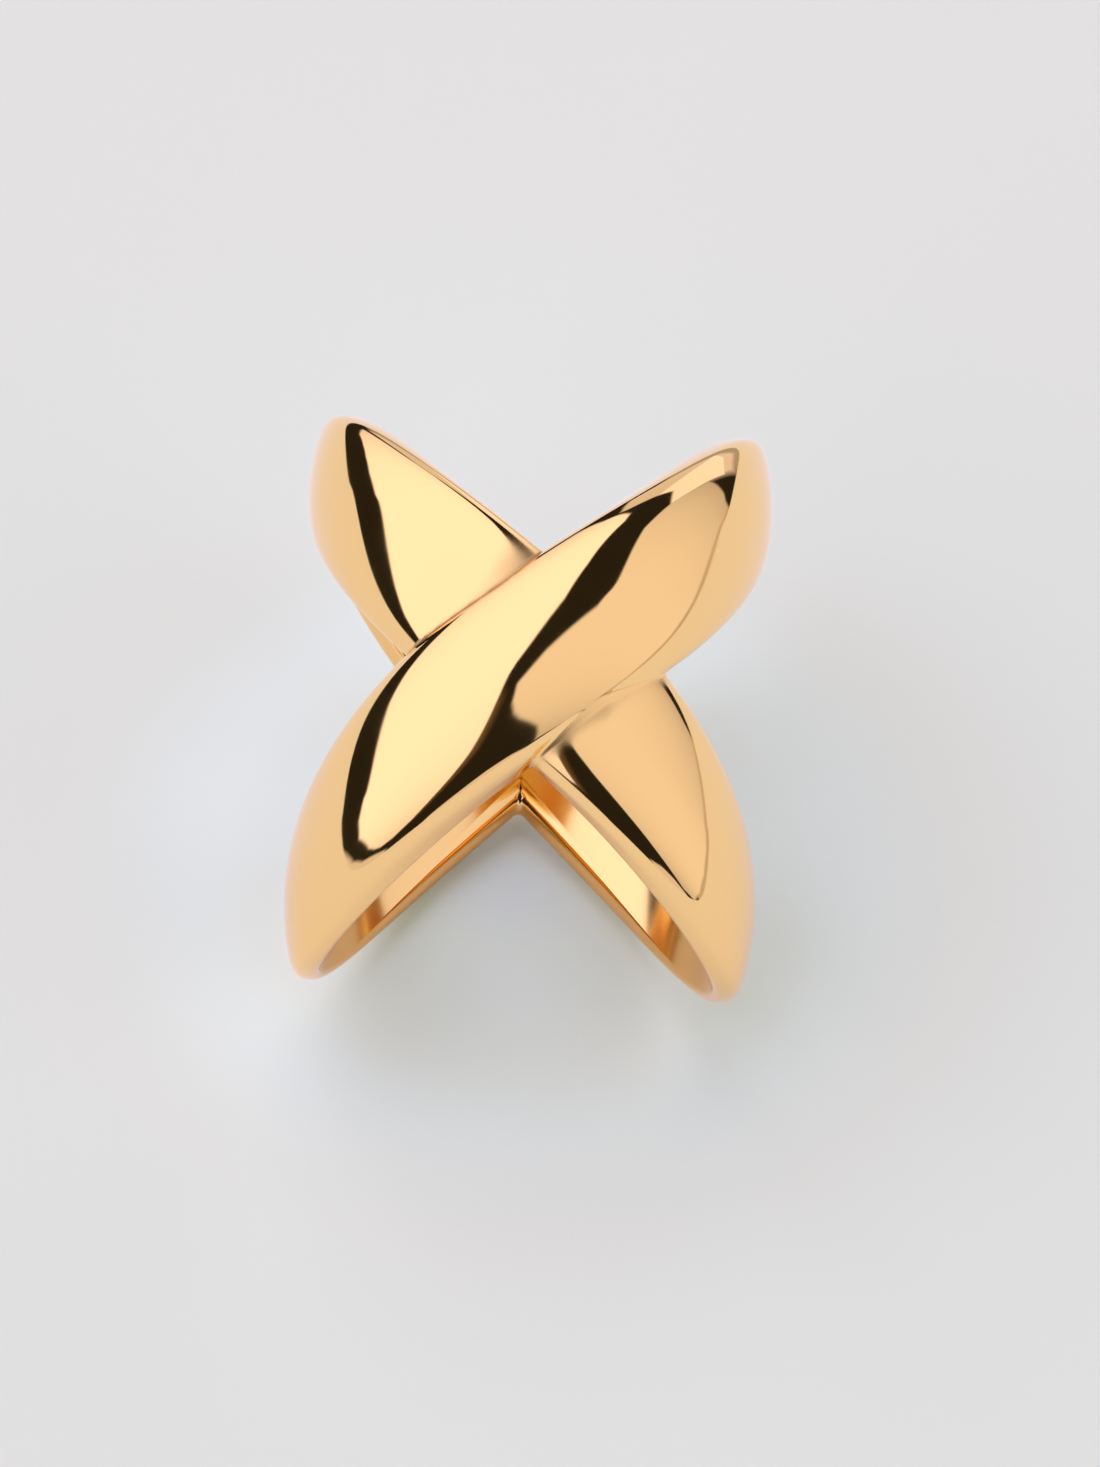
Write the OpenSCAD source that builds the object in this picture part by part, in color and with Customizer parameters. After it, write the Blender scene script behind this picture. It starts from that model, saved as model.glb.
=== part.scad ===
// A one-piece crossover ring. Two domed bands swing around the finger hole,
// cross on the back of the hand, part toward the sides and cross again on the palm.
// It is modelled at rest: tipped forward onto the palm crossing and its two front arms.
// The crossing on the back of the hand faces up and forward. Millimetres, +Z up, front toward -Y.

/* [Finger hole] */

// Diameter of the finger hole
finger_d = 17.3; // [15:0.1:21]

/* [Path of the bands] */

// How far each band swings along the finger, to each side of the middle
swing = 9.52; // [8:0.01:11]
// Extra swing on the palm half, taken off the back half
palm_bias = 0.49; // [0:0.01:0.8]
// Straightening of the arms between a crossing and a side
straighten = 0.3; // [0:0.01:0.6]

/* [Half width of the bands] */

// At the crossing on the back of the hand
half_back = 3.5; // [3:0.05:4]
// Halfway from that crossing to the side
half_shoulder = 3.4; // [2.8:0.05:3.8]
// At the side of the finger
half_side = 2.8; // [2.2:0.05:3.2]
// Halfway from the side to the palm
half_under = 1.95; // [1.6:0.05:2.6]
// At the crossing on the palm
half_palm = 1.65; // [1.6:0.05:2.4]

/* [Height of the bands over the finger hole] */

// Upper band, at the crossing on the back of the hand
upper_back = 3.1; // [2.6:0.05:3.6]
// Upper band, halfway to the side
upper_shoulder = 2.6; // [2.2:0.05:3]
// Lower band, at the crossing on the back of the hand
lower_back = 2.2; // [1.8:0.05:2.5]
// Lower band, halfway to the side
lower_shoulder = 2.2; // [1.8:0.05:2.6]
// Both bands, at the side of the finger
rise_side = 1.65; // [1.4:0.05:2.2]
// Both bands, halfway from the side to the palm
rise_under = 1.5; // [1.2:0.05:1.9]
// Both bands, at the crossing on the palm
rise_palm = 2; // [1.5:0.05:2.4]

/* [Section of the bands] */

// Rounding of the lip between the finger hole and the bands' edges
lip = 0.4; // [0.2:0.05:0.5]
// Fall of the dome near its ridge, lower for a sharper ridge
ridge_power = 1.7; // [1.4:0.05:2.4]
// Fall of the dome near its edges, lower for fuller flanks
flank_power = 0.255; // [0.2:0.005:0.5]
// Shift of the ridge toward the notches, as a share of the half width
ridge_shift = 0.16; // [0:0.01:0.25]
// Turn of that shift along the arms
ridge_turn = 0.11; // [0:0.01:0.15]
// Lean of the lower band's ridge, to the back at the upper crossing and to the front at the palm
lower_lean = 0.14; // [0:0.01:0.2]

/* [Rest] */

// Forward tip at rest, from worn upright
rest_tip = 26; // [20:0.5:30]

/* [Hidden] */

gold = [0.93, 0.72, 0.42];
bore_r = finger_d / 2;
// The bands start this far inside the finger hole's wall, and the hole is cut through them
root_depth = 0.25;
// The cutter for the hole runs this far past the bands at both ends
cut_margin = 5;
cut_length = 2 * (swing + half_side + cut_margin);
// Steps around the finger, across the dome from edge to edge, and around each lip
around_steps = 96;
dome_steps = 16;
lip_steps = 3;
UPPER = 1;
LOWER = -1;

// Smooth closed curve through values at 0, 45, 90, 135 and 180 degrees from the back of the hand
function around(t, v) =
    let (even = ((v[0] + v[4]) / 2 + v[2]) / 2)
    let (odd = (v[1] + v[3]) / 2)
    let (k1 = (v[0] - v[4]) / 4 + (v[1] - v[3]) / (2 * sqrt(2)))
    let (k2 = ((v[0] + v[4]) / 2 - v[2]) / 2)
    let (k3 = (v[0] - v[4]) / 4 - (v[1] - v[3]) / (2 * sqrt(2)))
    (even + odd) / 2 + k1 * cos(t) + k2 * cos(2 * t) + k3 * cos(3 * t) + (even - odd) / 2 * cos(4 * t);

function half_width(t) = around(t, [half_back, half_shoulder, half_side, half_under, half_palm]);

function rise(band, t) =
    band == UPPER
        ? around(t, [upper_back, upper_shoulder, rise_side, rise_under, rise_palm])
        : around(t, [lower_back, lower_shoulder, rise_side, rise_under, rise_palm]);

// Place of a band's middle line along the finger, and its slope per millimetre around the bore
function middle(band, t) = band * (swing * sin(t) - palm_bias * sin(2 * t) - straighten * sin(3 * t));

function slope(band, t) =
    band * (swing * cos(t) - 2 * palm_bias * cos(2 * t) - 3 * straighten * cos(3 * t)) / bore_r;

// A point of a band in the worn frame: distance across it from its middle line, height over the bore
function on_band(band, t, off, height) =
    let (lean = atan(slope(band, t)))
    let (turn = t - off * sin(lean) / bore_r * 180 / PI)
    let (r = bore_r + height)
    [r * sin(turn), middle(band, t) + off * cos(lean), r * cos(turn)];

// The dome's section, stepped by an angle from -90 at one edge to 90 at the other
function dome_share(a, shift) =
    let (s = sign(a) * pow(abs(sin(a)), 2 / ridge_power))
    s + shift * (1 - s * s);

function dome_height(a, top) = lip + (top - lip) * pow(cos(a), 2 * flank_power);

// The lip's rounding, from the finger hole at step 0 up toward the edge; side is -1 or 1
function lip_point(band, t, side, step) =
    let (a = 90 * step / lip_steps)
    on_band(band, t, side * (half_width(t) - lip + lip * sin(a)), lip - lip * cos(a));

// The lip's lowest step runs straight on to the root, so that the hole's wall crosses it cleanly
function root_point(band, t, side) =
    on_band(band, t, side * (half_width(t) - lip - root_depth / tan(45 / lip_steps)), -root_depth);

// How far the ridge lies off the band's middle line, as a share of the half width
function ridge_offset(band, t) =
    band * (ridge_shift * sin(2 * t) + ridge_turn * sin(3 * t)) + (band == LOWER ? lower_lean * cos(t) : 0);

function section(band, t) =
    let (shift = ridge_offset(band, t))
    let (top = rise(band, t))
    concat(
        [root_point(band, t, -1)],
        [for (i = [1:lip_steps - 1]) lip_point(band, t, -1, i)],
        [
            for (i = [0:dome_steps])
                let (a = 180 * i / dome_steps - 90)
                on_band(band, t, half_width(t) * dome_share(a, shift), dome_height(a, top))
        ],
        [for (i = [lip_steps - 1:-1:1]) lip_point(band, t, 1, i)],
        [root_point(band, t, 1)]
    );

function band_points(band) =
    [for (k = [0:around_steps - 1]) each section(band, 360 * k / around_steps)];

// Tipped forward about the finger hole's crosswise axis
function tipped(p) =
    [p[0], p[1] * cos(rest_tip) - p[2] * sin(rest_tip), p[1] * sin(rest_tip) + p[2] * cos(rest_tip)];

upper_points = band_points(UPPER);
lower_points = band_points(LOWER);
rest_points = [for (p = concat(upper_points, lower_points)) tipped(p)];
rest_x = [for (p = rest_points) p[0]];
rest_y = [for (p = rest_points) p[1]];
rest_z = [for (p = rest_points) p[2]];
// Brings the tipped ring's footprint to the middle and its lowest point to the ground
rest_place = [-(min(rest_x) + max(rest_x)) / 2, -(min(rest_y) + max(rest_y)) / 2, -min(rest_z)];

// Closed tube through the sections, in triangles
module swept(points) {
    n = len(points) / around_steps;
    polyhedron(
        points = points,
        faces = [
            for (k = [0:around_steps - 1], i = [0:n - 1])
                let (a = k * n + i)
                let (b = k * n + (i + 1) % n)
                let (c = ((k + 1) % around_steps) * n + (i + 1) % n)
                let (d = ((k + 1) % around_steps) * n + i)
                each [[a, b, c], [a, c, d]]
        ],
        convexity = 10
    );
}

module finger_hole() {
    rotate([90, 0, 0])
        cylinder(h = cut_length, r = bore_r, center = true, $fn = 180);
}

module crossed_bands() {
    color(gold)
        translate(rest_place)
            rotate([rest_tip, 0, 0])
                difference() {
                    union() {
                        swept(upper_points);
                        swept(lower_points);
                    }
                    finger_hole();
                }
}

crossed_bands();
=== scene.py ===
"""Looks of a polished gold crossover ring, resting on a pale table.

Two domed bands swing around the finger hole and cross on the back of the hand and on the palm.
The ring is one fine mesh from the same measures as the CAD part. Its creases get the small
fillets that polishing leaves, and its palm lips are a little rounder. Lengths are in millimetres
until a mesh is made, then in metres.
"""
import math

import bpy
import numpy as np
from mathutils import Matrix, Vector


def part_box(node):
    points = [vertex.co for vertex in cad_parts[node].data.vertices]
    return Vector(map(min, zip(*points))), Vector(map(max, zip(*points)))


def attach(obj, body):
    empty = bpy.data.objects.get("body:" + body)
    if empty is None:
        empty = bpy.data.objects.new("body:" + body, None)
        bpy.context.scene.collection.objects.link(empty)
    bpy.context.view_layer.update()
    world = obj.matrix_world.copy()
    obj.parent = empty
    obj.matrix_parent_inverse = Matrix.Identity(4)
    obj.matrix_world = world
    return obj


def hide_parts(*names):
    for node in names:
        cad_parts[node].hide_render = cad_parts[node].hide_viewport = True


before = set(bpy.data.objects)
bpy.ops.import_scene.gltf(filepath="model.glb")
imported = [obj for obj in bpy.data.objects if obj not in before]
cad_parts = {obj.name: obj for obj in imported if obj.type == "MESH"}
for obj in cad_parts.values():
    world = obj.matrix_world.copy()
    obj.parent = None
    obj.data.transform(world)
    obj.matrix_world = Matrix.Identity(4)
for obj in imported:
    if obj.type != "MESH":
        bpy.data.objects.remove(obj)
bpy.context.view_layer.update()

MM = 0.001

# The ring is made in the worn frame and then tipped to rest: the finger along y, the back of the
# hand up, and the middle of the hole at the origin. Its measures are as in the CAD part. Lists hold
# the values at 0, 45, 90, 135 and 180 degrees from the back of the hand
FINGER_D = 17.3
BORE_R = FINGER_D / 2
SWING = 9.52
PALM_BIAS = 0.49
STRAIGHTEN = 0.3
HALF_WIDTH = [3.5, 3.4, 2.8, 1.95, 1.65]
UPPER_RISE = [3.1, 2.6, 1.65, 1.5, 2.0]
LOWER_RISE = [2.2, 2.2, 1.65, 1.5, 2.0]
# The lips are rounder on the palm than the CAD part's even 0.4
LIP = [0.4, 0.4, 0.4, 0.8, 1.1]
RIDGE_POWER = 1.7
FLANK_POWER = 0.255
RIDGE_SHIFT = 0.16
RIDGE_TURN = 0.11
LOWER_LEAN = 0.14
REST_TIP = math.radians(26)
UPPER, LOWER = 1, -1

# The fine mesh: sections around a band and how much closer they lie at the crossings, and steps
# across the dome, up each lip and around the hole's cutter
AROUND_STEPS = 420
CROSSING_DENSITY = 0.35
DOME_STEPS = 76
LIP_STEPS = 6
BORE_STEPS = 360
# The bands start this far inside the hole's wall, and its cutter reaches this far to each side
ROOT_DEPTH = 0.25
BORE_REACH = 20
# A point this near to the hole's radius is on its wall
ON_HOLE = 2e-3

# Creases where the bands meet: on the back of the hand to the picture's left and right of the
# upper band, and on the palm. Their rounding, and how deep and how far out a file cut the left one
ROUNDING_LEFT, ROUNDING_RIGHT, ROUNDING_PALM = 0.1, 0.15, 0.3
LEAST_ROUNDING = 1e-6
GROOVE_DEPTH, GROOVE_REACH = 0.025, 0.14
# A crease runs out toward the hole within this height over its wall
CREASE_FADE = 0.6
# The left crease turns into the right one over this width, and the palm's into the back's
SIDE_BLEND, BACK_BLEND = 4, 1
# Points this near to both bands are moved on to the filleted surface, and the bands meet only
# within this distance of the ring's middle plane
NEAR = 0.7
MEETING_HALF = 8
# Width of the painted shade line at the bottom of the left crease
PAINTED_CREASE_SHADE_WIDTH = 0.05
# How far out from a crease the polish stays satin. On the lower band beside the left crease it is
# the first number, and from SATIN_WIDENS_AT on to the right the second
SATIN_ON_UPPER_LEFT, SATIN_ON_UPPER_RIGHT = 0.1, 0.06
SATIN_ON_LOWER_LEFT, SATIN_ON_LOWER_RIGHT = (0.1, 1.7), 0.7
SATIN_WIDENS_AT, SATIN_WIDENS_OVER = -2.5, 3

# The search for a point's place on a band: how often it is repeated, the step for its slopes, and
# the most that one round may change
PLACE_ROUNDS = 12
PLACE_PROBE = 1e-4
MOST_TURN, MOST_OFF = 0.3, 2
LEAST_DETERMINANT = 0.05
# The same for moving points on to the filleted surface
SETTLE_ROUNDS = 4
SETTLE_PROBE = 2e-3
MOST_SETTLE = 0.1
LEAST_SLOPE_SQUARED = 0.05
# Far from a band these keep its distance finite. Shares are of the band's half width
LEAST_SHIFT = 1e-6
MOST_SHARE = 1.6
LEAST_ROOT = 0.01
LEAST_STRETCH = 0.3
LEAST_SLOPE = 0.08


def around(t, v):
    """Smooth closed curve through the five values."""
    even = ((v[0] + v[4]) / 2 + v[2]) / 2
    odd = (v[1] + v[3]) / 2
    k1 = (v[0] - v[4]) / 4 + (v[1] - v[3]) / (2 * math.sqrt(2))
    k2 = ((v[0] + v[4]) / 2 - v[2]) / 2
    k3 = (v[0] - v[4]) / 4 - (v[1] - v[3]) / (2 * math.sqrt(2))
    series = k1 * np.cos(t) + k2 * np.cos(2 * t) + k3 * np.cos(3 * t)
    return (even + odd) / 2 + series + (even - odd) / 2 * np.cos(4 * t)


def middle(band, t):
    """Place of a band's middle line along the finger."""
    return band * (SWING * np.sin(t) - PALM_BIAS * np.sin(2 * t) - STRAIGHTEN * np.sin(3 * t))


def lean(band, t):
    """Angle between a band's middle line and the way straight around the finger."""
    slope = SWING * np.cos(t) - 2 * PALM_BIAS * np.cos(2 * t) - 3 * STRAIGHTEN * np.cos(3 * t)
    return np.arctan(band * slope / BORE_R)


def rise(band, t):
    """Height of a band's ridge over the hole."""
    return around(t, UPPER_RISE if band == UPPER else LOWER_RISE)


def ridge_offset(band, t):
    """How far the ridge lies off the band's middle line, as a share of the half width."""
    own = LOWER_LEAN if band == LOWER else 0
    return band * (RIDGE_SHIFT * np.sin(2 * t) + RIDGE_TURN * np.sin(3 * t)) + own * np.cos(t)


def on_band(band, t, off, height):
    """Point of a band in the worn frame: across it from its middle line, and over the hole."""
    turn = t - off * np.sin(lean(band, t)) / BORE_R
    r = BORE_R + height
    along = middle(band, t) + off * np.cos(lean(band, t))
    return np.stack([r * np.sin(turn), along, r * np.cos(turn)], -1)


def band_sections(band):
    """Closed sections around a band, from its root over the lip, the dome and the other lip.

    They lie closer together at the crossings.
    """
    k = np.linspace(0, 2 * math.pi, AROUND_STEPS, endpoint=False)[:, None]
    t = k - CROSSING_DENSITY * np.sin(2 * k)
    half, top, lip = around(t, HALF_WIDTH), rise(band, t), around(t, LIP)
    a = np.linspace(-math.pi / 2, math.pi / 2, DOME_STEPS + 1)[None, :]
    s = np.sign(a) * np.abs(np.sin(a)) ** (2 / RIDGE_POWER)
    dome_off = half * (s + ridge_offset(band, t) * (1 - s * s))
    cosine = np.clip(np.cos(a), 0, 1)
    cosine[:, [0, -1]] = 0
    dome_height = lip + (top - lip) * cosine ** (2 * FLANK_POWER)
    b = (math.pi / 2 * np.arange(1, LIP_STEPS) / LIP_STEPS)[None, :]
    lip_off = half - lip + lip * np.sin(b)
    lip_height = lip - lip * np.cos(b)
    root_off = half - lip - ROOT_DEPTH / math.tan(math.pi / 4 / LIP_STEPS)
    root_height = -ROOT_DEPTH + 0 * t
    off = np.concatenate([-root_off, -lip_off, dome_off, lip_off[:, ::-1], root_off], 1)
    height = np.concatenate([root_height, lip_height, dome_height, lip_height[:, ::-1], root_height], 1)
    return on_band(band, t, off, height)


def new_object(name, points, faces):
    mesh = bpy.data.meshes.new(name)
    mesh.from_pydata(points, [], faces)
    mesh.validate()
    obj = bpy.data.objects.new(name, mesh)
    bpy.context.scene.collection.objects.link(obj)
    return obj


def band_object(band):
    sections = band_sections(band)
    count, size = sections.shape[:2]
    i, j = np.meshgrid(np.arange(count), np.arange(size), indexing="ij")
    i2, j2 = (i + 1) % count, (j + 1) % size
    corners = [i * size + j, i * size + j2, i2 * size + j2, i2 * size + j]
    faces = np.stack(corners, -1).reshape(-1, 4)
    return new_object("band", sections.reshape(-1, 3).tolist(), faces.tolist())


def bore_object():
    """Cutter for the finger hole."""
    a = np.linspace(0, 2 * math.pi, BORE_STEPS, endpoint=False)
    radius = BORE_R / math.cos(math.pi / BORE_STEPS)
    ring = [[radius * math.sin(x), radius * math.cos(x)] for x in a]
    points = [[x, y, z] for y in (-BORE_REACH, BORE_REACH) for x, z in ring]
    n = BORE_STEPS
    sides = [[k, k + n, (k + 1) % n + n, (k + 1) % n] for k in range(n)]
    ends = [list(range(n)), list(range(2 * n - 1, n - 1, -1))]
    return new_object("bore", points, sides + ends)


def face_outward(obj):
    bpy.context.view_layer.objects.active = obj
    bpy.ops.object.select_all(action="DESELECT")
    obj.select_set(True)
    bpy.ops.object.mode_set(mode="EDIT")
    bpy.ops.mesh.select_all(action="SELECT")
    bpy.ops.mesh.normals_make_consistent(inside=False)
    bpy.ops.object.mode_set(mode="OBJECT")
    return obj


def combine(obj, tool, operation):
    """Joins the tool to the object, or cuts it away, and removes the tool."""
    cut = obj.modifiers.new("cut", "BOOLEAN")
    cut.operation = operation
    cut.solver = "MANIFOLD"
    cut.object = tool
    graph = bpy.context.evaluated_depsgraph_get()
    result = bpy.data.meshes.new_from_object(obj.evaluated_get(graph))
    obj.modifiers.remove(cut)
    obj.data = result
    bpy.data.objects.remove(tool)


def place_on_band(band, p):
    """For points in the worn frame: t, distance across the band and height over the hole.

    Newton's method finds the t and the distance whose point on the band is the given one.
    """
    turn = np.arctan2(p[:, 0], p[:, 2])
    height = np.hypot(p[:, 0], p[:, 2]) - BORE_R
    y = p[:, 1]
    t = turn.copy()
    off = (y - middle(band, t)) * np.cos(lean(band, t))
    step = PLACE_PROBE
    for _ in range(PLACE_ROUNDS):
        angle, next_angle = lean(band, t), lean(band, t + step)
        miss_t = t - off * np.sin(angle) / BORE_R - turn
        miss_y = middle(band, t) + off * np.cos(angle) - y
        tt = 1 - off * (np.sin(next_angle) - np.sin(angle)) / step / BORE_R
        to = -np.sin(angle) / BORE_R
        ahead = middle(band, t + step) - middle(band, t)
        yt = (ahead + off * (np.cos(next_angle) - np.cos(angle))) / step
        yo = np.cos(angle)
        det = tt * yo - to * yt
        det = np.where(np.abs(det) < LEAST_DETERMINANT, LEAST_DETERMINANT, det)
        t = t - np.clip((miss_t * yo - to * miss_y) / det, -MOST_TURN, MOST_TURN)
        off = off - np.clip((tt * miss_y - yt * miss_t) / det, -MOST_OFF, MOST_OFF)
    return t, off, height


def band_distance(band, p):
    """About the distance to a band's surface, negative inside.

    On the dome this is how far the section's equation is from met, over that equation's slope.
    """
    t, off, height = place_on_band(band, p)
    half, top, lip = around(t, HALF_WIDTH), rise(band, t), around(t, LIP)
    shift = ridge_offset(band, t)
    shift = np.where(np.abs(shift) < LEAST_SHIFT, LEAST_SHIFT, shift)
    share = np.clip(off / half, -MOST_SHARE, MOST_SHARE)
    s = (1 - np.sqrt(np.maximum(1 - 4 * shift * (share - shift), LEAST_ROOT))) / (2 * shift)
    up = np.maximum((height - lip) / (top - lip), 0)
    q = 1 / FLANK_POWER
    level = np.abs(s) ** RIDGE_POWER + up ** q - 1
    stretch = np.maximum(1 - 2 * shift * s, LEAST_STRETCH)
    along = RIDGE_POWER * np.abs(s) ** (RIDGE_POWER - 1) / half / stretch
    upward = q * up ** (q - 1) / (top - lip)
    dome = level / np.maximum(np.hypot(along, upward), LEAST_SLOPE)
    over = np.maximum(np.abs(off) - (half - lip), 0)
    return np.where(height > lip, dome, np.hypot(over, lip - height) - lip)


def smooth(x):
    x = np.clip(x, 0, 1)
    return x * x * (3 - 2 * x)


def smooth_at(x, centre, width):
    """Zero below the centre and one above it, changing over the width."""
    return smooth(0.5 + (x - centre) / width)


def mixed(a, b, share):
    return a + (b - a) * share


def right_share(p):
    """Zero at the crease behind the upper band, at the picture's left, and one before the band."""
    ahead = middle(UPPER, np.arctan2(p[:, 0], p[:, 2])) - p[:, 1]
    return smooth_at(ahead, 0, SIDE_BLEND)


def back_share(p):
    """Zero at the palm and one on the back of the hand."""
    return smooth_at(p[:, 2], 0, BACK_BLEND)


def off_hole(p):
    """Zero on the hole's wall and one where the creases have their full size."""
    return smooth((np.hypot(p[:, 0], p[:, 2]) - BORE_R) / CREASE_FADE)


def at_crossing(p):
    return np.abs(p[:, 0]) < MEETING_HALF


def crease_sizes(p):
    """Rounding of the crease at each point, and the depth of the file's cut in the left one."""
    right, back, fade = right_share(p), back_share(p), off_hole(p)
    rounding = mixed(ROUNDING_PALM, mixed(ROUNDING_LEFT, ROUNDING_RIGHT, right), back)
    return rounding * fade + LEAST_ROUNDING, GROOVE_DEPTH * (1 - right) * back * fade


def ring_distance(p):
    """Distance to both bands joined, with the crease between them filed down and rounded."""
    a, b = band_distance(UPPER, p), band_distance(LOWER, p)
    rounding, depth = crease_sizes(p)
    h = np.clip(0.5 + 0.5 * (b - a) / rounding, 0, 1)
    joined = b + (a - b) * h - rounding * h * (1 - h)
    groove = np.clip(1 - np.maximum(a, b) / GROOVE_REACH, 0, 1)
    alone = np.where(np.abs(a) < np.abs(b), a, b)
    return np.where(at_crossing(p), joined + depth * groove * groove, alone)


def crease_marks(p):
    """Two shares for each point: painted shade at the left crease's bottom, and satin beside a crease."""
    a, b = np.abs(band_distance(UPPER, p)), np.abs(band_distance(LOWER, p))
    right, here = right_share(p), back_share(p) * off_hole(p) * at_crossing(p)
    # Painted shade: a dark line along the bottom of the left crease
    painted_crease_shade = np.exp(-((a + b) / PAINTED_CREASE_SHADE_WIDTH) ** 2) * (1 - right) * here
    on_upper = mixed(SATIN_ON_UPPER_LEFT, SATIN_ON_UPPER_RIGHT, right)
    on_lower = mixed(*SATIN_ON_LOWER_LEFT, smooth_at(p[:, 0], SATIN_WIDENS_AT, SATIN_WIDENS_OVER))
    on_lower = mixed(on_lower, SATIN_ON_LOWER_RIGHT, right)
    satin = smooth(1 - np.maximum(a / on_lower, b / on_upper)) * here
    return painted_crease_shade, satin


def ring_gradient(p):
    g = np.zeros_like(p)
    for axis in range(3):
        d = np.zeros(3)
        d[axis] = SETTLE_PROBE
        g[:, axis] = (ring_distance(p + d) - ring_distance(p - d)) / (2 * SETTLE_PROBE)
    return g


def settle_surface(p):
    """Moves the outer points on to the filleted surface and gives every point its normal."""
    r = np.hypot(p[:, 0], p[:, 2])
    radial = np.stack([p[:, 0] / r, 0 * r, p[:, 2] / r], -1)
    on_bore = r < BORE_R + ON_HOLE
    outer = ~on_bore
    farther = np.maximum(np.abs(band_distance(UPPER, p)), np.abs(band_distance(LOWER, p)))
    near = outer & at_crossing(p) & (farther < NEAR)
    q = p[near]
    for _ in range(SETTLE_ROUNDS):
        g = ring_gradient(q)
        size = np.maximum((g * g).sum(1), LEAST_SLOPE_SQUARED)
        move = ring_distance(q)[:, None] * g / size[:, None]
        q = q - np.clip(move, -MOST_SETTLE, MOST_SETTLE)
    out = p.copy()
    out[near] = q
    normals = -radial
    g = ring_gradient(out[outer])
    normals[outer] = g / np.linalg.norm(g, axis=1, keepdims=True)
    return out, normals


def tipped(p):
    """From the worn frame to rest: tipped forward about the hole's crosswise axis."""
    c, s = math.cos(REST_TIP), math.sin(REST_TIP)
    return np.stack([p[:, 0], p[:, 1] * c - p[:, 2] * s, p[:, 1] * s + p[:, 2] * c], -1)


def surface_shares(p):
    """What the gold's look depends on, by attribute name, as a share at each point."""
    painted_crease_shade, satin = crease_marks(p)
    hole = np.hypot(p[:, 0], p[:, 2]) < BORE_R + ON_HOLE
    # The upper part of the hole's wall, under the back crossing, gets painted shade
    under = hole * smooth_at(p[:, 2], 0, BORE_R)
    return {"painted_crease_shade": painted_crease_shade, "satin": satin, "hole": hole.astype(float), "under": under}


def placed(p):
    """Brings points at rest over the middle of the CAD solid's box and down to its bottom."""
    low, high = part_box("crossed_bands")
    low, high = np.array(low) / MM, np.array(high) / MM
    shift = (low + high) / 2 - (p.min(0) + p.max(0)) / 2
    shift[2] = low[2] - p[:, 2].min()
    return p + shift


def make_ring():
    ring = face_outward(band_object(UPPER))
    combine(ring, face_outward(band_object(LOWER)), "UNION")
    combine(ring, face_outward(bore_object()), "DIFFERENCE")
    mesh = ring.data
    p = np.zeros(len(mesh.vertices) * 3)
    mesh.vertices.foreach_get("co", p)
    p = p.reshape(-1, 3)
    shares = surface_shares(p)
    p, normals = settle_surface(p)
    mesh.vertices.foreach_set("co", (placed(tipped(p)) * MM).ravel())
    mesh.update()
    mesh.shade_smooth()
    mesh.normals_split_custom_set_from_vertices(tipped(normals).tolist())
    for name, share in shares.items():
        mesh.attributes.new(name, "FLOAT", "POINT").data.foreach_set("value", share)
    ring.name = mesh.name = "ring"
    return ring


def node(tree, kind, **values):
    n = tree.nodes.new(kind)
    for key, value in values.items():
        setattr(n, key, value)
    return n


def feed(tree, socket, value):
    """Sets a socket to a number or colour, or links another node's output to it."""
    if isinstance(value, bpy.types.NodeSocket):
        tree.links.new(value, socket)
    else:
        socket.default_value = value


def maths(tree, operation, *values, clamp=False):
    n = node(tree, "ShaderNodeMath", operation=operation, use_clamp=clamp)
    for socket, value in zip(n.inputs, values):
        feed(tree, socket, value)
    return n.outputs[0]


def blend(tree, share, a, b):
    mix = node(tree, "ShaderNodeMix", data_type="RGBA")
    feed(tree, mix.inputs["Factor"], share)
    feed(tree, mix.inputs["A"], a)
    feed(tree, mix.inputs["B"], b)
    return mix.outputs["Result"]


def attribute(tree, name):
    return node(tree, "ShaderNodeAttribute", attribute_name=name).outputs["Fac"]


def noise(tree, where, scale, detail):
    n = node(tree, "ShaderNodeTexNoise")
    feed(tree, n.inputs["Vector"], where)
    n.inputs["Scale"].default_value = scale
    n.inputs["Detail"].default_value = detail
    return n.outputs["Fac"]


GOLD = (0.97, 0.655, 0.255, 1)
# Painted shade: a darker gold on the hole's wall under the back crossing
PAINTED_SHADE_GOLD = (0.75, 0.42, 0.08, 1)
# Colour of the painted shade line at the bottom of the left crease
PAINTED_CREASE_SHADE = (0.45, 0.27, 0.11, 1)
# Roughness that the satin beside the creases and the hole's wall add to the polish
SATIN_ROUGHNESS = 0.3
HOLE_ROUGHNESS = 0.1
# The polish's haze: its noise, the part of the noise's range that is used, and the roughness there
HAZE_SCALE, HAZE_DETAIL = 420, 5
HAZE_NOISE = (0.35, 0.7)
HAZE_ROUGHNESS = (0.035, 0.075)
# The waviness that hand polishing leaves, with its height in metres
WAVE_SCALE, WAVE_DETAIL = 700, 2
WAVE_STRENGTH, WAVE_HEIGHT = 0.25, 0.000004


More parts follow.
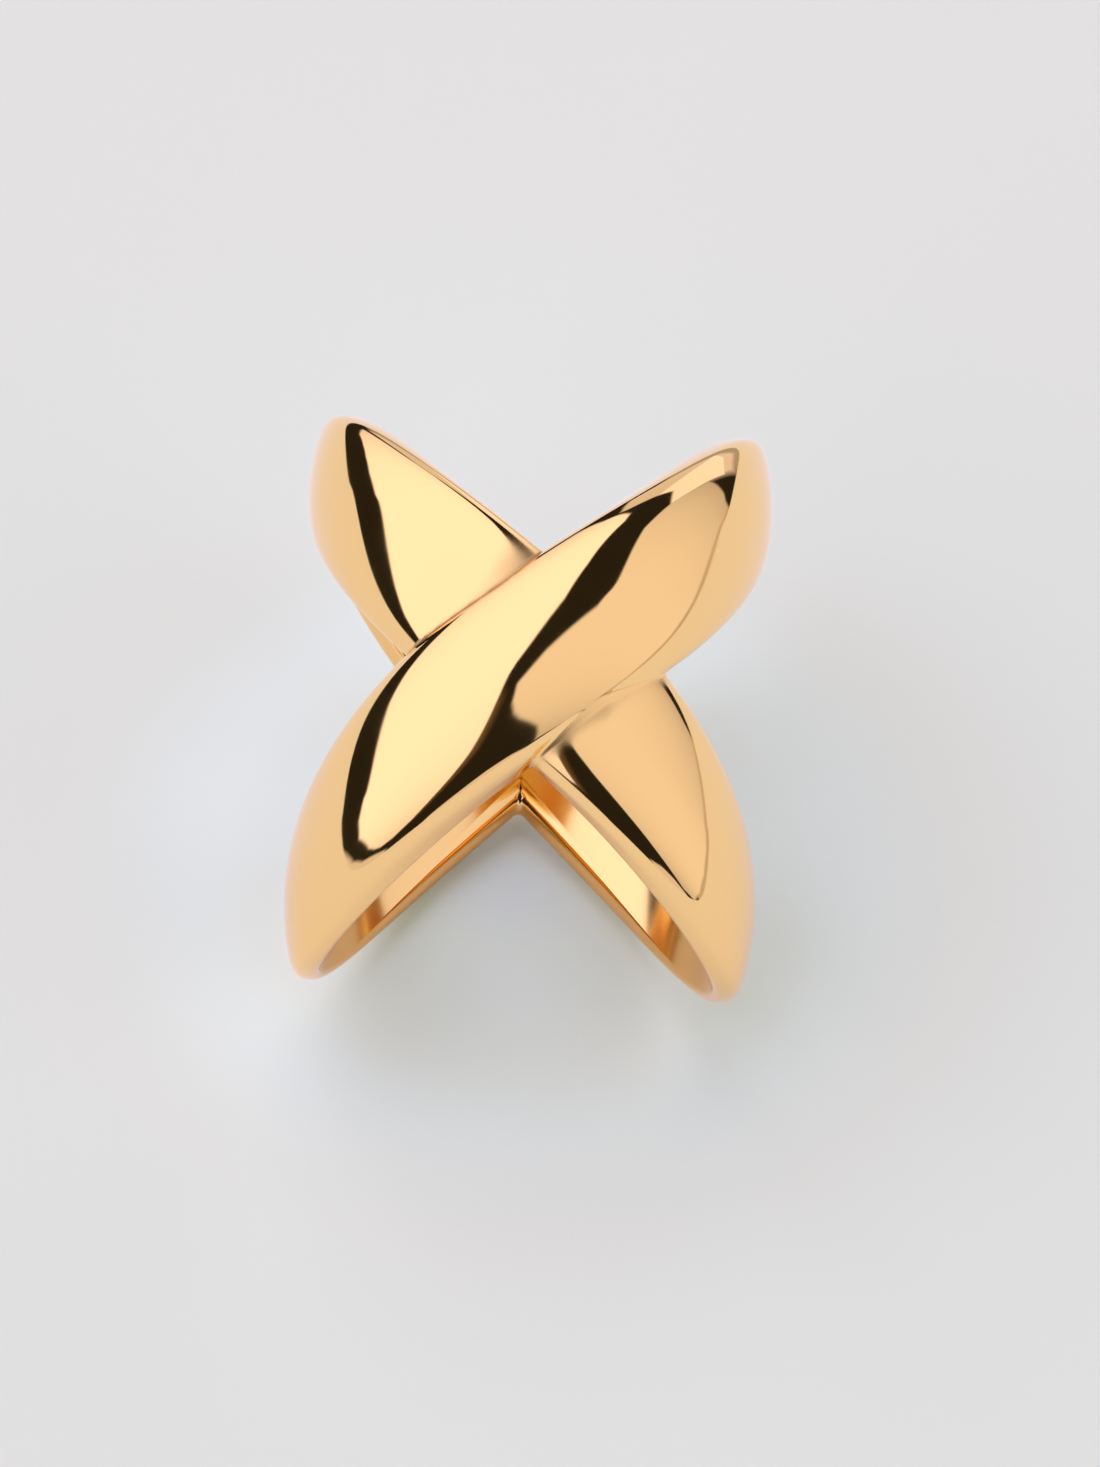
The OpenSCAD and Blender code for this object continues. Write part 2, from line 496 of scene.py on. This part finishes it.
def gold_material():
    """Mirror-polished gold with the faint haze and waviness of hand polishing, and painted shade in the
    left crease and on the hole's wall under the back crossing.
    """
    mat = bpy.data.materials.new("polished_gold")
    mat.use_nodes = True
    tree = mat.node_tree
    tree.nodes.clear()
    out = node(tree, "ShaderNodeOutputMaterial")
    gold = node(tree, "ShaderNodeBsdfPrincipled")
    gold.inputs["Metallic"].default_value = 1
    tree.links.new(gold.outputs[0], out.inputs[0])
    where = node(tree, "ShaderNodeTexCoord").outputs["Object"]

    haze = node(tree, "ShaderNodeMapRange")
    feed(tree, haze.inputs["Value"], noise(tree, where, HAZE_SCALE, HAZE_DETAIL))
    haze.inputs["From Min"].default_value, haze.inputs["From Max"].default_value = HAZE_NOISE
    haze.inputs["To Min"].default_value, haze.inputs["To Max"].default_value = HAZE_ROUGHNESS
    rough = maths(tree, "MULTIPLY_ADD", attribute(tree, "satin"), SATIN_ROUGHNESS, haze.outputs[0])
    rough = maths(tree, "MULTIPLY_ADD", attribute(tree, "hole"), HOLE_ROUGHNESS, rough)
    rough = maths(tree, "MULTIPLY_ADD", attribute(tree, "painted_crease_shade"), SATIN_ROUGHNESS, rough)
    tree.links.new(rough, gold.inputs["Roughness"])

    # Painted shade darkens the gold on the hole's wall under the back crossing
    shaded_gold = blend(tree, attribute(tree, "under"), GOLD, PAINTED_SHADE_GOLD)
    # The painted shade line of the left crease is mixed over the gold
    tree.links.new(blend(tree, attribute(tree, "painted_crease_shade"), shaded_gold, PAINTED_CREASE_SHADE), gold.inputs["Base Color"])

    bump = node(tree, "ShaderNodeBump")
    bump.inputs["Strength"].default_value = WAVE_STRENGTH
    bump.inputs["Distance"].default_value = WAVE_HEIGHT
    feed(tree, bump.inputs["Height"], noise(tree, where, WAVE_SCALE, WAVE_DETAIL))
    tree.links.new(bump.outputs[0], gold.inputs["Normal"])
    return mat


# The table's colour changes with the distance from the ring's middle. The camera sees it tinted to cancel
# the colour of the light on it, the ring's golden cast near the ring and the lamps' blue farther out,
# with a painted glow near the ring that lightens its shadow. Reflections and the light the table passes
# on see pale paper with a painted glow that grows away from the ring. Each list goes out from the ring's
# middle, by the radii in metres
TABLE_RADII = (0.001, 0.006, 0.013, 0.022, 0.05)
TABLE_COLOURS = [
    (0.84, 1.0, 0.95), (0.91, 1.0, 0.93), (0.9, 1.0, 0.89), (0.89, 0.975, 0.78), (0.89, 0.955, 0.75)]
TABLE_GLOWS = [(0, 0.035, 0.05), (0, 0.075, 0.06), (0, 0.04, 0.01), (0, 0, 0), (0, 0, 0)]
PAPER = (0.92, 0.92, 0.8, 1)
PAPER_GLOWS = [
    (0, 0, 0), (0.01, 0.01, 0.02), (0.06, 0.09, 0.15), (0.09, 0.13, 0.22), (0.09, 0.13, 0.22)]
TABLE_ROUGHNESS = 0.9
TABLE_SPECULAR = 0.1


def radial_ramp(tree, reach, colours):
    ramp = node(tree, "ShaderNodeValToRGB")
    ramp.color_ramp.interpolation = "EASE"
    stops = ramp.color_ramp.elements
    while len(stops) < len(colours):
        stops.new(0.5)
    for stop, radius in zip(stops, TABLE_RADII):
        stop.position = radius / TABLE_RADII[-1]
    # Moving a stop sorts them all again, so their colours come in a loop of their own
    for stop, colour in zip(stops, colours):
        stop.color = colour + (1,)
    feed(tree, ramp.inputs[0], reach)
    return ramp.outputs["Color"]


def table_material():
    mat = bpy.data.materials.new("table")
    mat.use_nodes = True
    tree = mat.node_tree
    paint = tree.nodes["Principled BSDF"]
    paint.inputs["Roughness"].default_value = TABLE_ROUGHNESS
    paint.inputs["Specular IOR Level"].default_value = TABLE_SPECULAR
    paint.inputs["Emission Strength"].default_value = 1
    where = node(tree, "ShaderNodeNewGeometry").outputs["Position"]
    length = node(tree, "ShaderNodeVectorMath", operation="LENGTH")
    tree.links.new(where, length.inputs[0])
    reach = maths(tree, "MULTIPLY", length.outputs["Value"], 1 / TABLE_RADII[-1])
    seen = node(tree, "ShaderNodeLightPath").outputs["Is Camera Ray"]
    # Painted light: the camera sees the table tinted and glowing near the ring, and reflections see paper
    # that glows away from it
    colour = blend(tree, seen, PAPER, radial_ramp(tree, reach, TABLE_COLOURS))
    glow = blend(tree, seen, radial_ramp(tree, reach, PAPER_GLOWS), radial_ramp(tree, reach, TABLE_GLOWS))
    tree.links.new(colour, paint.inputs["Base Color"])
    tree.links.new(glow, paint.inputs["Emission Color"])
    return mat


# The sheet of paper reaches far to the front, but its slanting back edge passes not far behind the
# ring, where the ring reflects the dark past it
TABLE_CORNERS = [(-1.5, -1.5), (1.5, -1.5), (1.5, 0.67), (-1.5, -0.42)]


def make_table():
    table = new_object("table", [(x, y, 0) for x, y in TABLE_CORNERS], [(0, 1, 2, 3)])
    table.data.materials.append(table_material())


# The studio overhead. Corners are in degrees from straight up: to the right, and to the back.
# Two soft boxes leave a dark gap between them, low lights stand behind, and the paper that the
# ring rests on curls up a little at the front.
LEFT_BOX = [
    (-38, 80), (-29, 85), (-24, 76), (-17, 64), (-7, 55), (7, 41), (10, 33), (8, 10), (4, 0), (-10, -11),
    (-11, -20), (-14, -38), (-18, -48), (-27, -66), (-36, -70), (-47, -66), (-57, -57), (-66, -46),
    (-73, -33), (-80, -20), (-82, -7), (-80, 5), (-77, 20), (-74, 33), (-69, 44), (-62, 55), (-50, 71)]
RIGHT_BOX = [
    (39, 32), (33, 18), (34, -4), (30, -9), (8, -16), (-2, -21), (0, -26.5), (5, -31.5), (12, -36),
    (22, -41), (35, -48), (57, -64), (72, -56), (84, -30), (88.6, -8), (88.8, 8), (85.4, 26), (80, 41.5),
    (77, 42), (73, 44), (54, 47)]
BACK_LIGHT_LEFT = [(-19, 90), (-16, 77), (-9, 60), (-4, 56), (15, 51), (15, 90)]
BACK_LIGHT_RIGHT = [(14, 90), (14, 51), (27, 46), (39, 31), (54, 47), (63, 55), (38, 76)]
BACK_LIGHT_LOW = [(14, 92), (14, 60), (54, 47), (69, 61), (46, 82)]
SPILL = [(-14, -17), (-7, -22), (-8, -40), (-12, -50), (-22, -68), (-35, -72), (-25, -45)]
HORIZON = [(78, -40), (98, -40), (98, 43), (77, 42)]
HORIZON_BACK = [(80, 58), (90, 70), (60, 110), (-12, 110), (-12, 80), (50, 70)]
PAPER_LEFT = [
    (-93, -6), (-87, -21), (-80, -37), (-66, -56), (-56, -64), (-43, -74), (-28, -84), (-28, -110),
    (-110, -110)]
PAPER_RIGHT = [(8, -87), (21, -80), (32, -73), (45, -69), (75, -69), (60, -110), (8, -110)]

# Corners, colour, softness of the edges in degrees, how far back the light is strongest, and the
# share of it that is lost LOSS_REACH degrees from there. Where lights overlap, the brighter shows
LIGHTS = [
    (LEFT_BOX, (1.42, 1.3, 1.7), 1.6, 4, 0.22),
    (RIGHT_BOX, (0.98, 0.9, 1.08), 1.6, -10, 0.46),
    (BACK_LIGHT_LEFT, (0.8, 0.73, 0.9), 1.6, 0, 0),
    (BACK_LIGHT_RIGHT, (1.18, 1.08, 1.42), 1.6, 0, 0),
    (SPILL, (0.12, 0.08, 0.05), 6, 0, 0),
    (BACK_LIGHT_LOW, (0.85, 0.77, 0.98), 8, 0, 0),
    (HORIZON, (0.62, 0.52, 0.55), 2, 0, 0),
    (HORIZON_BACK, (0.45, 0.41, 0.4), 3, 0, 0),
    (PAPER_LEFT, (0.8, 0.73, 0.9), 2, 0, 0),
    (PAPER_RIGHT, (0.8, 0.73, 0.9), 2, 0, 0),
]
LOSS_REACH = 60
GAP_COLOUR = (0.022, 0.019, 0.016)
# A dent is carried this far past the hull, so that the hull's soft edge doesn't show in it. A
# corner this near to the hull's edge makes no dent
DENT_PAST = 12
ON_EDGE = 1e-6
# Straight up, a direction has no side, so its length seen from above is at least this
LEAST_FLAT = 1e-5
# The backdrop as the camera sees it
BACKDROP = (0.75, 0.75, 0.75, 1)


def turn_of(a, b, c):
    """Above zero where the way from a over b to c turns left."""
    return (b[0] - a[0]) * (c[1] - a[1]) - (b[1] - a[1]) * (c[0] - a[0])


def counter_clockwise(corners):
    area = sum(a[0] * b[1] - a[1] * b[0] for a, b in zip(corners, corners[1:] + corners[:1]))
    return corners if area > 0 else corners[::-1]


def outward(a, b):
    """Unit vector out of a counter-clockwise polygon across its edge from a to b."""
    length = math.hypot(b[0] - a[0], b[1] - a[1])
    return (b[1] - a[1]) / length, -(b[0] - a[0]) / length


def hull_and_dents(corners):
    """The polygon's convex hull, and the dents in it, each carried on out past the hull."""
    ring = counter_clockwise(corners)
    ordered = sorted(ring)
    hull = []
    for side in (ordered, ordered[::-1]):
        chain = []
        for corner in side:
            while len(chain) > 1 and turn_of(chain[-2], chain[-1], corner) <= 0:
                chain.pop()
            chain.append(corner)
        hull += chain[:-1]
    start = ring.index(hull[0])
    ring = ring[start:] + ring[:start]
    marks = [k for k, corner in enumerate(ring) if corner in hull] + [len(ring)]
    dents = []
    for m, n in zip(marks, marks[1:]):
        run = [ring[k % len(ring)] for k in range(m, n + 1)]
        if any(turn_of(run[0], run[-1], corner) > ON_EDGE for corner in run[1:-1]):
            x, y = outward(run[0], run[-1])
            past = [(u + x * DENT_PAST, v + y * DENT_PAST) for u, v in (run[-1], run[0])]
            dents.append(run + past)
    return hull, dents


def hull_cover(tree, place, corners, soft):
    """One or more inside a convex polygon and nothing or less outside, with a soft edge between."""
    total = None
    for a, b in zip(corners, corners[1:] + corners[:1]):
        x, y = outward(a, b)
        edge = (-x / soft, -y / soft, 0.5 + (x * a[0] + y * a[1]) / soft)
        inside = vector_maths(tree, "DOT_PRODUCT", place, edge)
        total = inside if total is None else maths(tree, "MINIMUM", total, inside)
    return total


def cover(tree, place, corners, soft):
    """The same for a polygon that may have dents: its hull, less each dent."""
    hull, dents = hull_and_dents(corners)
    total = hull_cover(tree, place, hull, soft)
    for dent in dents:
        rest = maths(tree, "SUBTRACT", 1, cover(tree, place, dent, soft))
        total = maths(tree, "MINIMUM", total, rest)
    return total


def degrees_from_overhead(tree):
    """A direction's degrees to the right of straight up, its degrees to the back, and a one."""
    direction = node(tree, "ShaderNodeTexCoord").outputs["Generated"]
    parts = node(tree, "ShaderNodeSeparateXYZ")
    tree.links.new(direction, parts.inputs[0])
    x, y, z = parts.outputs
    flat = maths(tree, "SQRT", maths(tree, "MULTIPLY_ADD", x, x, maths(tree, "MULTIPLY", y, y)))
    flat = maths(tree, "MAXIMUM", flat, LEAST_FLAT)
    polar = maths(tree, "MULTIPLY", maths(tree, "ARCTAN2", flat, z), math.degrees(1))
    share = maths(tree, "DIVIDE", polar, flat)
    right, back = maths(tree, "MULTIPLY", x, share), maths(tree, "MULTIPLY", y, share)
    place = node(tree, "ShaderNodeCombineXYZ")
    for socket, value in zip(place.inputs, (right, back, 1)):
        feed(tree, socket, value)
    return place.outputs[0]


def vector_maths(tree, operation, a, b):
    n = node(tree, "ShaderNodeVectorMath", operation=operation)
    feed(tree, n.inputs[0], a)
    feed(tree, n.inputs[1], b)
    return n.outputs["Value" if operation == "DOT_PRODUCT" else "Vector"]


def scaled(tree, colour, amount):
    n = node(tree, "ShaderNodeVectorMath", operation="SCALE")
    feed(tree, n.inputs[0], colour)
    feed(tree, n.inputs["Scale"], amount)
    return n.outputs[0]


def make_studio():
    world = bpy.data.worlds.new("studio")
    bpy.context.scene.world = world
    world.use_nodes = True
    tree = world.node_tree
    tree.nodes.clear()
    place = degrees_from_overhead(tree)
    light = GAP_COLOUR
    for corners, colour, soft, centre, loss in LIGHTS:
        share = maths(tree, "MULTIPLY", cover(tree, place, corners, soft), 1, clamp=True)
        if loss:
            off = vector_maths(tree, "DOT_PRODUCT", place, (0, 1 / LOSS_REACH, -centre / LOSS_REACH))
            off = maths(tree, "MULTIPLY", off, off)
            share = maths(tree, "MULTIPLY", share, maths(tree, "MULTIPLY_ADD", off, -loss, 1))
        light = vector_maths(tree, "MAXIMUM", light, scaled(tree, colour, share))
    seen = node(tree, "ShaderNodeLightPath").outputs["Is Camera Ray"]
    background = node(tree, "ShaderNodeBackground")
    tree.links.new(blend(tree, seen, light, BACKDROP), background.inputs["Color"])
    tree.links.new(background.outputs[0], node(tree, "ShaderNodeOutputWorld").inputs[0])


# The camera, from the photograph: its direction from the middle of the hole in degrees, its
# distance, and where that middle falls in the picture of 1100 by 1467
WORN_ELEVATION = 76.443
WORN_AZIMUTH = -5.958
ROLL = 9.042
CAMERA_DISTANCE = 293.43
PX_PER_MM = 22.518
PICTURE = (1100, 1467)
HOLE_AT_PX = (529.2, 710.86)
HOLE_CENTRE = (0, 0.127, 10.892)
SENSOR = 36
CLIP = (0.01, 10)


def make_camera():
    el, az, roll = (math.radians(v) for v in (WORN_ELEVATION, WORN_AZIMUTH, ROLL))
    d = np.array([math.cos(el) * math.sin(az), -math.cos(el) * math.cos(az), math.sin(el)])
    right = np.cross(-d, [0, 0, 1])
    right /= np.linalg.norm(right)
    up = np.cross(right, -d)
    turned_right = math.cos(roll) * right + math.sin(roll) * up
    turned_up = -math.sin(roll) * right + math.cos(roll) * up
    back, x, y = (Vector(v) for v in tipped(np.array([d, turned_right, turned_up])))
    data = bpy.data.cameras.new("camera")
    camera = bpy.data.objects.new("camera", data)
    bpy.context.scene.collection.objects.link(camera)
    turn = Matrix((x, y, back)).transposed().to_4x4()
    place = (Vector(HOLE_CENTRE) + back * CAMERA_DISTANCE) * MM
    camera.matrix_world = Matrix.Translation(place) @ turn
    data.sensor_width = SENSOR
    data.lens = PX_PER_MM * CAMERA_DISTANCE / max(PICTURE) * SENSOR
    data.shift_x = (PICTURE[0] / 2 - HOLE_AT_PX[0]) / max(PICTURE)
    data.shift_y = (HOLE_AT_PX[1] - PICTURE[1] / 2) / max(PICTURE)
    data.clip_start, data.clip_end = CLIP
    bpy.context.scene.camera = camera


make_camera()
make_studio()
make_table()
bpy.context.scene.view_settings.view_transform = "Standard"

ring = make_ring()
ring.data.materials.clear()
ring.data.materials.append(gold_material())
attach(ring, "root")
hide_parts("crossed_bands")
